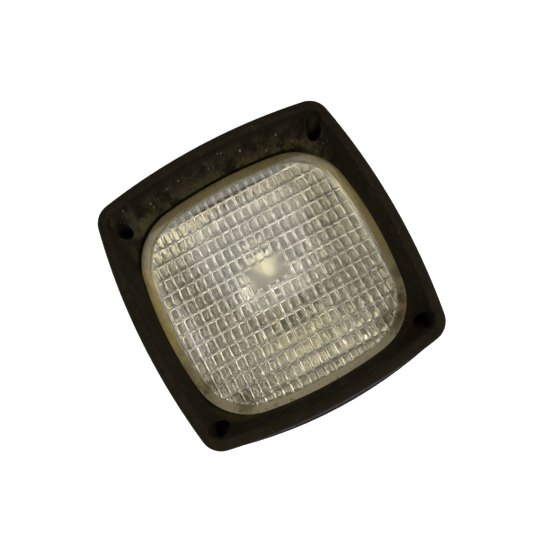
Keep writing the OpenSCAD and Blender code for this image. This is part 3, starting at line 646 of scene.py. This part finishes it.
# Stains in the glass: strength, ragged edge, colour, then the middle and the radius of each one
LENS_STAINS = (
    (0.5, 8, (0.84, 0.81, 0.52, 1), ((10, -35, 14), (0, 11, 9), (46, 33, 9), (-8, -27, 10))),
    (0.6, 8, (0.80, 0.755, 0.61, 1), ((36, -22, 26), (40, 14, 18), (-38, 6, 20), (-4, -42, 22))),
    (0.8, 14, (0.34, 0.29, 0.20, 1), ((-55, -35, 6), (-43, -52, 8), (47, -49, 9), (55, -41, 5))))


def cell_chance(column, row, kind):
    """A value from -1 to 1 that a cell keeps, so that no two flutes are pressed quite alike."""
    v = math.sin(sum(n * step for n, step in zip((column, row, kind), CHANCE_STEPS))) * CHANCE_SPREAD
    return 2 * (v - math.floor(v)) - 1


def pillow_depth(x, y):
    """Depth of the inner face below the back of the flange: a round-ended flute in each cell."""
    s = sizes()
    half = s.flute_pitch / 2
    cell = math.floor(x / s.flute_pitch + 0.5), math.floor(y / s.row_pitch + 0.5)
    u = ((x / s.flute_pitch + 0.5) % 1 - 0.5) * s.flute_pitch
    y_in_cell = ((y / s.row_pitch + 0.5) % 1 - 0.5) * s.row_pitch
    end = max(abs(y_in_cell) - (s.row_pitch / 2 - half * END_SHARE), 0) / (half * END_SHARE)
    off = min((abs(u / half) ** 3 + end ** 3) ** (1 / 3), 1.0)
    low, high = GLINT_BAND
    lean = cell_chance(*cell, 0) * u / half + cell_chance(*cell, 1) * y_in_cell / (s.row_pitch / 2)
    fall = BODY_FALL * (min(off / low, 1) ** 2 + UNEVEN * (lean + cell_chance(*cell, 2)) * (1 - off ** 2))
    fall += BAND_FALL * min(max((off - low) / (high - low), 0), 1)
    fall += (1 - BODY_FALL - BAND_FALL) * max((off - high) / (1 - high), 0)
    return LEAST_DEPTH + s.flute_depth * (1 - fall)


def cell_quarter(t):
    """Points of a quarter of a ring round a cell's middle; t = 1 is the cell's own rectangle."""
    s = sizes()
    half, high = s.flute_pitch / 2, s.row_pitch / 2
    end = half * END_SHARE
    square_power, round_power = 0.7, 2 / 3
    points = [(t * half, 0.0)]
    for degrees in CELL_TURNS:
        c, d = math.cos(math.radians(degrees)), math.sin(math.radians(degrees))
        if t == 1:
            points.append((half * min(1, (c / d) ** square_power) if degrees else half,
                           high - end + end * min(1, (d / c) ** square_power) if degrees < 90 else high))
        else:
            points.append((t * half * abs(c) ** round_power, high - end + t * end * abs(d) ** round_power))
    points[-1] = (0.0, points[-1][1])
    return points


def cell_ring(t):
    """All the points of a ring, in order round the cell's middle."""
    q = cell_quarter(t)
    left = [(-x, y) for x, y in reversed(q[:-1])]
    upper = q + left
    return upper + [(x, -y) for x, y in reversed(upper[1:-1])]


def cell_faces(shape):
    """Corner points of every face of the flutes, with 1 for those that carry the mirror of painted glints,
    else 0.
    """
    s = sizes()
    rings = [cell_ring(t) for t in (1,) + CELL_RINGS]
    count = len(rings[0])
    nearly_half = 0.499
    corners = {i for i, (x, y) in enumerate(rings[0])
               if abs(x) > nearly_half * s.flute_pitch and abs(y) > nearly_half * s.row_pitch}
    columns = math.ceil(shape[0] / s.flute_pitch - 0.5)
    rows = math.ceil(shape[1] / s.row_pitch - 0.5)
    for column in range(-columns, columns + 1):
        for row in range(-rows, rows + 1):
            x0, y0 = column * s.flute_pitch, row * s.row_pitch
            loops = [[(x0 + x, y0 + y) for x, y in r] for r in rings]
            yield loops[-1], 0
            for level, (outer, inner) in enumerate(zip(loops, loops[1:])):
                for i in range(count):
                    k = (i + 1) % count
                    # Faces on the glint band and at the cells' corners carry the mirror of painted glints
                    edge = level == BAND_LEVEL or level == 0 and (i in corners or k in corners)
                    yield [outer[i], outer[k], inner[k], inner[i]], int(edge)


def cut_flat(bm, at, normal, clear=False):
    """Cuts the flat face along an upright plane, and can take away what lies beyond it."""
    bmesh.ops.bisect_plane(bm, geom=bm.verts[:] + bm.edges[:] + bm.faces[:], dist=1e-7,
                           plane_co=(at[0], at[1], 0), plane_no=(normal[0], normal[1], 0),
                           clear_outer=clear)


def on_pad(x, y):
    return PAD[0] < x < PAD[1] and PAD[2] < y < PAD[3]


def fluted_face(bm):
    """Inner face of the field, cut to its outline, with walls up to the back of the flange."""
    shape = opening(FIELD_OUT)
    whole, verts = [], {}

    def spot(x, y):
        return round(x * 1e7), round(y * 1e7)

    def add(points, edge):
        for x, y in points:
            if spot(x, y) not in verts:
                verts[spot(x, y)] = bm.verts.new((x, y, 0))
        face = bm.faces.new([verts[spot(x, y)] for x, y in reversed(points)])
        face.material_index = edge

    for points, edge in cell_faces(shape):
        shares = [outward_share(shape, x, y) for x, y in points]
        if max(shares) < CUT_SHARES[0]:
            whole.append((points, edge))
        elif min(shares) < CUT_SHARES[1]:
            add(points, edge)
    line = outline(shape)
    for (x0, y0), (x1, y1) in zip(line, line[1:] + line[:1]):
        out = (y1 - y0, x0 - x1)
        if out[0] * x0 + out[1] * y0 < 0:
            out = (-out[0], -out[1])
        cut_flat(bm, (x0, y0), out, clear=True)
    verts = {key: v for key, v in verts.items() if v.is_valid}
    for points, edge in whole:
        add(points, edge)
    for step in (-PAD_SLOPE, PAD_SLOPE):
        for at in PAD[:2]:
            cut_flat(bm, (at + step, 0), (1, 0))
        for at in PAD[2:]:
            cut_flat(bm, (0, at + step), (0, 1))
    for v in bm.verts:
        x, y = v.co.x, v.co.y
        v.co.z = LENS_BACK_Z - (PAD_DEPTH if on_pad(x, y) else pillow_depth(x, y))
    for f in bm.faces:
        middle = f.calc_center_median()
        if on_pad(middle.x, middle.y):
            f.material_index = 0
    rim = [e for e in bm.edges if len(e.link_faces) == 1]
    up = bmesh.ops.extrude_edge_only(bm, edges=rim)["geom"]
    for v in up:
        if isinstance(v, bmesh.types.BMVert):
            v.co.z = LENS_BACK_Z + GLASS_GAP
    return [e for e in up if isinstance(e, bmesh.types.BMEdge)]


def lens_shell():
    """Flange, ridge and slightly domed field of the lens in front, and the fluted face behind."""
    flange = opening(FLANGE_OUT)
    rings = [ring(flange, LENS_BACK_Z + GLASS_GAP), ring(flange, LENS_FRONT_Z)]
    rings += [ring(opening(out * MM), LENS_FRONT_Z + FIELD_STEP * up) for out, up in RIDGE]
    inner = opening(RIDGE[-1][0] * MM)
    inner_z = LENS_FRONT_Z + FIELD_STEP * RIDGE[-1][1]
    for i in range(1, FIELD_STEPS):
        t = 1 - i / FIELD_STEPS
        rings.append([(x * t, y * t, inner_z + FIELD_CROWN * (1 - t * t)) for x, y in outline(inner)])
    bm = bmesh.new()
    top = fluted_face(bm)
    rows = loft(bm, rings, closed_section=False)
    middle = bm.verts.new((0, 0, inner_z + FIELD_CROWN))
    for j, v in enumerate(rows[-1]):
        bm.faces.new((v, rows[-1][(j + 1) % len(rows[-1])], middle))
    back = [bm.edges.get((v, rows[0][(j + 1) % len(rows[0])])) for j, v in enumerate(rows[0])]
    bmesh.ops.triangle_fill(bm, use_beauty=True, edges=back + top)
    loose = sum(1 for e in bm.edges if len(e.link_faces) != 2)
    if loose:
        raise RuntimeError("the lens is open at %d edges" % loose)
    return finish_mesh(bm, "lens_glass_shell", LENS_SHARP)


def lens_finish():
    """Slightly yellowed glass with stains, warmer along its edge and frosted on the bare pad."""
    f = Finish("lens_glass", Transmission_Weight=0.95, IOR=1.5)
    tree = f.tree
    patches = f.grime(Patch_Scale=45.0, Grain_Scale=600.0, Coverage=0.42, Softness=0.2)
    colour = mix(tree, patches, tuple(colours().glass), (0.92, 0.885, 0.75, 1))
    for strength, ragged, tone, places in LENS_STAINS:
        for place_x, place_y, radius in places:
            mask = product(tree, f.stain(place_x, place_y, radius, ragged), strength)
            colour = mix(tree, mask, colour, tone)
    edge = product(tree, remap(tree, f.outward(), 0.84, 0.96, 0.0, 0.85),
                   remap(tree, f.axis("Y"), -40 * MM, 30 * MM, 0.25, 1.0))
    f.set("Base Color", mix(tree, edge, colour, (0.88, 0.80, 0.50, 1)))

    left, right, bottom, top = PAD
    across = math_node(tree, "ABSOLUTE", f.axis("X"))
    along = math_node(tree, "ABSOLUTE", math_node(tree, "SUBTRACT", f.axis("Y"), (bottom + top) / 2))
    pad = product(tree, math_node(tree, "LESS_THAN", across, (right - left) / 2),
                  math_node(tree, "LESS_THAN", along, (top - bottom) / 2),
                  math_node(tree, "LESS_THAN", f.axis("Z"), LENS_BACK_Z))
    rough = remap(tree, patches, 0.0, 1.0, 0.03, 0.12)
    f.set("Roughness", math_node(tree, "ADD", rough, product(tree, pad, 0.3)))
    drawn_out = node(tree, "VectorMath", {0: f.place, 1: (900, 90, 90)}, operation="MULTIPLY").outputs[0]
    f.bump(noise(tree, drawn_out, 1.0, 3.0), 0.08 * MM, 0.5)
    return f


def glint_mirror_finish():
    """Mirror metal on the flutes' edges that stands in for the glints of light in the glass: painted glints,
    bright in some places and faint in others.
    """
    f = Finish("lens_flute_glint_mirror", Metallic=1.0)
    patches = f.grime(Patch_Scale=150.0, Grain_Scale=700.0, Coverage=0.5, Softness=0.2)
    # Painted glints: the mirror's colour sets how brightly they shine, bright in some patches and faint in
    # others
    f.set("Base Color", mix(f.tree, patches, (0.98, 0.95, 0.86, 1), (0.34, 0.32, 0.25, 1)))
    f.set("Roughness", remap(f.tree, patches, 0.0, 1.0, 0.28, 0.45))
    f.bump(f.grain(900.0), 0.02 * MM, 0.5)
    return f


def sealant_finish():
    """Cream bead under the flange, with dirt along its outer edge and an amber stain."""
    f = Finish("sealant")
    tree = f.tree
    x, y, outward = f.axis("X"), f.axis("Y"), f.outward()
    patches = f.grime(Patch_Scale=70.0, Grain_Scale=800.0, Coverage=0.45, Softness=0.2)
    olive = math_node(tree, "MAXIMUM", remap(tree, y, 20 * MM, 55 * MM, 0.0, 0.85),
                      remap(tree, x, 40 * MM, 60 * MM, 0.0, 0.5))
    amber = product(tree, f.stain(56, -47, 9, 6.0), remap(tree, outward, 0.94, 0.97), 0.8)
    dirt = math_node(tree, "MAXIMUM", f.specks(Scale=420.0, Size=0.42, Share=0.35),
                     f.grime(Patch_Scale=260.0, Grain_Scale=1500.0, Coverage=0.42, Softness=0.05))
    low = remap(tree, y, -10 * MM, -40 * MM, 0.35, 1.0)
    layers = (
        (patches, (0.33, 0.29, 0.17, 1)),
        (remap(tree, y, -30 * MM, -55 * MM), (0.86, 0.80, 0.66, 1)),
        (olive, (0.17, 0.13, 0.04, 1)),
        (amber, (0.50, 0.26, 0.06, 1)),
        (product(tree, f.stain(62, -28, 5, 6.0), 0.7), (0.13, 0.10, 0.03, 1)),
        (product(tree, dirt, remap(tree, outward, 0.945, 0.99), low), (0.03, 0.025, 0.015, 1)),
        (product(tree, remap(tree, outward, 0.938, 0.926), 0.7), (0.10, 0.08, 0.04, 1)))
    colour = tuple(colours().sealant)
    for mask, tone in layers:
        colour = mix(tree, mask, colour, tone)
    f.set("Base Color", colour)
    f.set("Roughness", 0.6)
    return f


class LAMP_OT_lens(bpy.types.Operator):
    """Builds the pressed glass lens with its rows of flutes"""

    bl_idname = "lamp.lens"
    bl_label = "Lens"

    def execute(self, context):
        obj = lens_shell()
        dress(obj, lens_finish(), glint_mirror_finish())
        place(obj, "lamp", "lens_glass", "lens")
        return {"FINISHED"}


# Reflector


def mirror_finish():
    """Bright metal with a slightly tarnished film."""
    f = Finish("reflector_metal", Metallic=1.0)
    patches = f.grime(Patch_Scale=40.0, Grain_Scale=500.0, Coverage=0.38, Softness=0.16)
    f.set("Base Color", mix(f.tree, patches, (0.88, 0.86, 0.79, 1), (0.74, 0.69, 0.57, 1)))
    f.set("Roughness", remap(f.tree, patches, 0.0, 1.0, 0.12, 0.24))
    f.bump(f.grain(120.0), 0.02 * MM, 0.3)
    return f


class LAMP_OT_reflector(bpy.types.Operator):
    """Finishes the reflector"""

    bl_idname = "lamp.reflector"
    bl_label = "Reflector"

    def execute(self, context):
        dress(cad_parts["reflector"], mirror_finish())
        return {"FINISHED"}


# Gasket, screws, housing, cap and the pieces inside


def plain_finishes():
    """A two-tone finish for each solid: material, colour, dirt, roughness and metallic."""
    c = colours()
    black, dust, rust = tuple(c.plastic), tuple(c.dust), tuple(c.rust)
    rows = {
        "housing": ("housing_plastic", black, (0.05, 0.045, 0.035, 1), 0.45),
        "rear_cap": ("cap_plastic", (0.015, 0.015, 0.015, 1), (0.05, 0.046, 0.04, 1), 0.5),
        "panel_gasket": ("gasket_rubber", (0.010, 0.010, 0.010, 1), (0.035, 0.03, 0.024, 1), 0.7),
        "lens_seal": ("seal_rubber", (0.008, 0.008, 0.008, 1), (0.03, 0.028, 0.02, 1), 0.6),
        "optic_cushion": ("foam", (0.02, 0.02, 0.02, 1), (0.04, 0.04, 0.035, 1), 0.9),
        "cap_seal": ("red_rubber", (0.09, 0.015, 0.01, 1), (0.05, 0.02, 0.015, 1), 0.5),
        "breather": ("breather_rubber", (0.012, 0.012, 0.012, 1), dust, 0.6),
        "corner_screws": ("dark_steel", (0.05, 0.045, 0.04, 1), rust, 0.5, 0.7),
        "spring_washers": ("washer_steel", (0.10, 0.09, 0.08, 1), rust, 0.5, 0.8),
        "screw_retainers": ("retainer_steel", (0.30, 0.28, 0.25, 1), rust, 0.45, 0.9),
        "housing_screws": ("zinc_steel", (0.42, 0.41, 0.37, 1), (0.20, 0.15, 0.09, 1), 0.38, 0.9),
        "bulb_seat_ring": ("plated_steel", (0.48, 0.44, 0.30, 1), (0.25, 0.20, 0.12, 1), 0.35, 1.0),
        "bulb_base": ("bulb_metal", (0.55, 0.54, 0.50, 1), (0.35, 0.32, 0.26, 1), 0.3, 1.0),
        "bulb_clip": ("spring_wire", (0.50, 0.49, 0.46, 1), (0.28, 0.24, 0.18, 1), 0.3, 1.0),
        "bulb_filament": ("tungsten", (0.10, 0.10, 0.10, 1), (0.05, 0.05, 0.05, 1), 0.5, 1.0),
        "bulb_lead": ("pale_insulation", (0.50, 0.47, 0.40, 1), (0.32, 0.28, 0.20, 1), 0.55),
        "earth_lead": ("brown_insulation", (0.06, 0.03, 0.015, 1), (0.04, 0.03, 0.02, 1), 0.5),
        "lead_terminal": ("terminal_metal", (0.55, 0.48, 0.28, 1), (0.3, 0.22, 0.1, 1), 0.35, 1.0),
        "socket_insert": ("insert_plastic", (0.20, 0.19, 0.16, 1), (0.12, 0.11, 0.09, 1), 0.5),
        "live_contact": ("contact_brass", (0.60, 0.50, 0.24, 1), (0.35, 0.26, 0.12, 1), 0.3, 1.0)}
    return {name: plain_finish(*row) for name, row in rows.items()}


def quartz_finish():
    """Clear quartz with a faint film of smoke."""
    f = Finish("bulb_quartz", Transmission_Weight=1.0, IOR=1.46)
    smoke = f.grime(Patch_Scale=120.0, Grain_Scale=900.0, Coverage=0.3, Softness=0.2)
    f.set("Base Color", mix(f.tree, smoke, (0.96, 0.96, 0.96, 1), (0.8, 0.78, 0.74, 1)))
    f.set("Roughness", remap(f.tree, smoke, 0.0, 1.0, 0.0, 0.08))
    return f


class LAMP_OT_solids(bpy.types.Operator):
    """Finishes the solids that keep their shape: housing, cap, gasket, screws and the bulb's parts"""

    bl_idname = "lamp.solids"
    bl_label = "Solids"

    def execute(self, context):
        finishes = plain_finishes()
        finishes["lens_sealant"] = sealant_finish()
        finishes["bulb_glass"] = quartz_finish()
        finishes["earth_terminals"] = finishes["lead_terminal"]
        finishes["earth_contact"] = finishes["live_contact"]
        for name, finish in finishes.items():
            dress(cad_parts[name], finish)
        for name in ("housing", "rear_cap", "panel_gasket", "breather"):
            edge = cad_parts[name].modifiers.new("edge", "BEVEL")
            edge.width, edge.segments, edge.angle_limit = SOLID_EDGE, 2, SOLID_EDGE_ANGLE
        return {"FINISHED"}


# Stage


WHITE = (1, 1, 1, 1)
FLOOR_HALF = 3.0
# The floor shines less near the lamp, so that the shadow stays
SHADOW_RADIUS, WHITE_RADIUS, SHADOW_WHITE = 0.3, 1.5, 0.6
# Light of the room on surfaces, and how far up a direction points where the white walls end or are full
ROOM_LIGHT = 0.15
WALL_END, WALL_FULL = 0.65, 0.45
# Name, place in metres, width in metres and power in watts
LAMPS = (
    ("key_light", (0.98, -0.12, 0.95), 0.8, 7),
    ("fill_light", (-0.98, 0.2, 0.95), 0.8, 2.2),
    ("low_light", (-0.05, -0.95, 0.9), 1.0, 6.5),
    ("high_light", (0.0, 0.27, 1.05), 0.36, 0.8),
    ("near_light", (-0.1, -0.55, 1.05), 0.35, 0.9),
    ("front_light", (-0.42, 0.16, 1.1), 0.25, 1.0))

# The photo's camera, as fitted: width and focal length in pixels, place over the height where the lip
# starts to round, and turn
PHOTO_WIDTH, PHOTO_FOCAL = 533, 801.5373
CAMERA_PLACE = (-0.7511 * MM, -79.5311 * MM, 400 * MM)
CAMERA_TURN = (0.1793, 0.0901, -0.4815)
SENSOR_WIDTH = 36.0


def seen_rays(tree):
    """Two values: 1 for the camera's rays, and 1 for those seen through glass or in metal."""
    path = node(tree, "LightPath")
    return path.outputs["Is Camera Ray"], math_node(
        tree, "MAXIMUM", path.outputs["Is Glossy Ray"], path.outputs["Is Transmission Ray"])


def white_stage_finish():
    """Pale floor that is white to the camera, apart from the shadow on it."""
    f = Finish("stage_white")
    tree = f.tree
    f.set("Base Color", (0.9, 0.9, 0.9, 1))
    f.set("Roughness", 0.9)
    f.set("Specular IOR Level", 0.1)
    f.set("Emission Color", WHITE)
    away = node(tree, "VectorMath", {0: f.place}, operation="LENGTH").outputs["Value"]
    white = remap(tree, away, SHADOW_RADIUS, WHITE_RADIUS, SHADOW_WHITE, 1.0)
    f.set("Emission Strength", product(tree, math_node(tree, "MAXIMUM", *seen_rays(tree)), white))
    return f


def floor():
    bm = bmesh.new()
    bm.faces.new([bm.verts.new((x * FLOOR_HALF, y * FLOOR_HALF, 0))
                  for x, y in ((-1, -1), (1, -1), (1, 1), (-1, 1))])
    obj = finish_mesh(bm, "floor")
    dress(obj, white_stage_finish())


def soft_room():
    """World that is white to the camera, with white walls for glass and metal and a dim ceiling."""
    world = bpy.data.worlds.new("soft_room")
    world.use_nodes = True
    tree = world.node_tree
    back = tree.nodes["Background"]
    back.inputs["Color"].default_value = WHITE
    camera_rays, other_rays = seen_rays(tree)
    up = node(tree, "SeparateXYZ", {0: node(tree, "TexCoord").outputs["Generated"]}).outputs["Z"]
    walls = product(tree, other_rays, remap(tree, up, WALL_END, WALL_FULL))
    seen = math_node(tree, "MAXIMUM", camera_rays, walls)
    tree.links.new(remap(tree, seen, 0.0, 1.0, ROOM_LIGHT, 1.0, smooth=False), back.inputs["Strength"])
    return world


def area_light(name, location, width, power):
    """Round soft lamp that shines at the middle of the rim."""
    data = bpy.data.lights.new(name, "AREA")
    data.shape, data.size, data.energy = "DISK", width, power
    obj = bpy.data.objects.new(name, data)
    obj.location = location
    target = Vector((0, 0, RIM_Z))
    obj.rotation_euler = (target - Vector(location)).to_track_quat("-Z", "Y").to_euler()
    bpy.context.scene.collection.objects.link(obj)


def photo_camera():
    data = bpy.data.cameras.new("camera")
    data.sensor_width = SENSOR_WIDTH
    data.lens = PHOTO_FOCAL / PHOTO_WIDTH * SENSOR_WIDTH
    data.clip_start, data.clip_end = 0.01, 20
    camera = bpy.data.objects.new("camera", data)
    camera.location = Vector(CAMERA_PLACE) + Vector((0, 0, RIM_Z - sizes().lip_round))
    camera.rotation_euler = Euler(CAMERA_TURN, "XYZ")
    bpy.context.scene.collection.objects.link(camera)
    return camera


class LAMP_OT_stage(bpy.types.Operator):
    """Sets the floor, the soft lights, the world and the camera"""

    bl_idname = "lamp.stage"
    bl_label = "Stage"

    def execute(self, context):
        scene = context.scene
        floor()
        scene.world = soft_room()
        for lamp in LAMPS:
            area_light(*lamp)
        scene.camera = photo_camera()
        scene.view_settings.view_transform = "Standard"
        return {"FINISHED"}


class LAMP_PT_panel(bpy.types.Panel):
    """Lists the lamp's settings and build steps"""

    bl_label = "Work light"
    bl_idname = "LAMP_PT_panel"
    bl_space_type = "VIEW_3D"
    bl_region_type = "UI"
    bl_category = "Work light"

    def draw(self, context):
        for settings in (context.scene.lamp_sizes, context.scene.lamp_colours):
            box = self.layout.box()
            for key in settings.__annotations__:
                box.prop(settings, key)
        for step in STEPS:
            self.layout.operator("lamp." + step)


STEPS = ("stage", "bezel", "lens", "reflector", "solids")
CLASSES = (LampSizes, LampColours, LAMP_OT_stage, LAMP_OT_bezel, LAMP_OT_lens, LAMP_OT_reflector,
           LAMP_OT_solids, LAMP_PT_panel)


def register():
    for c in CLASSES:
        bpy.utils.register_class(c)
    bpy.types.Scene.lamp_sizes = bpy.props.PointerProperty(type=LampSizes)
    bpy.types.Scene.lamp_colours = bpy.props.PointerProperty(type=LampColours)


def unregister():
    del bpy.types.Scene.lamp_sizes, bpy.types.Scene.lamp_colours
    for c in reversed(CLASSES):
        bpy.utils.unregister_class(c)


def main():
    register()
    for step in STEPS:
        getattr(bpy.ops.lamp, step)()


if __name__ == "__main__":
    main()
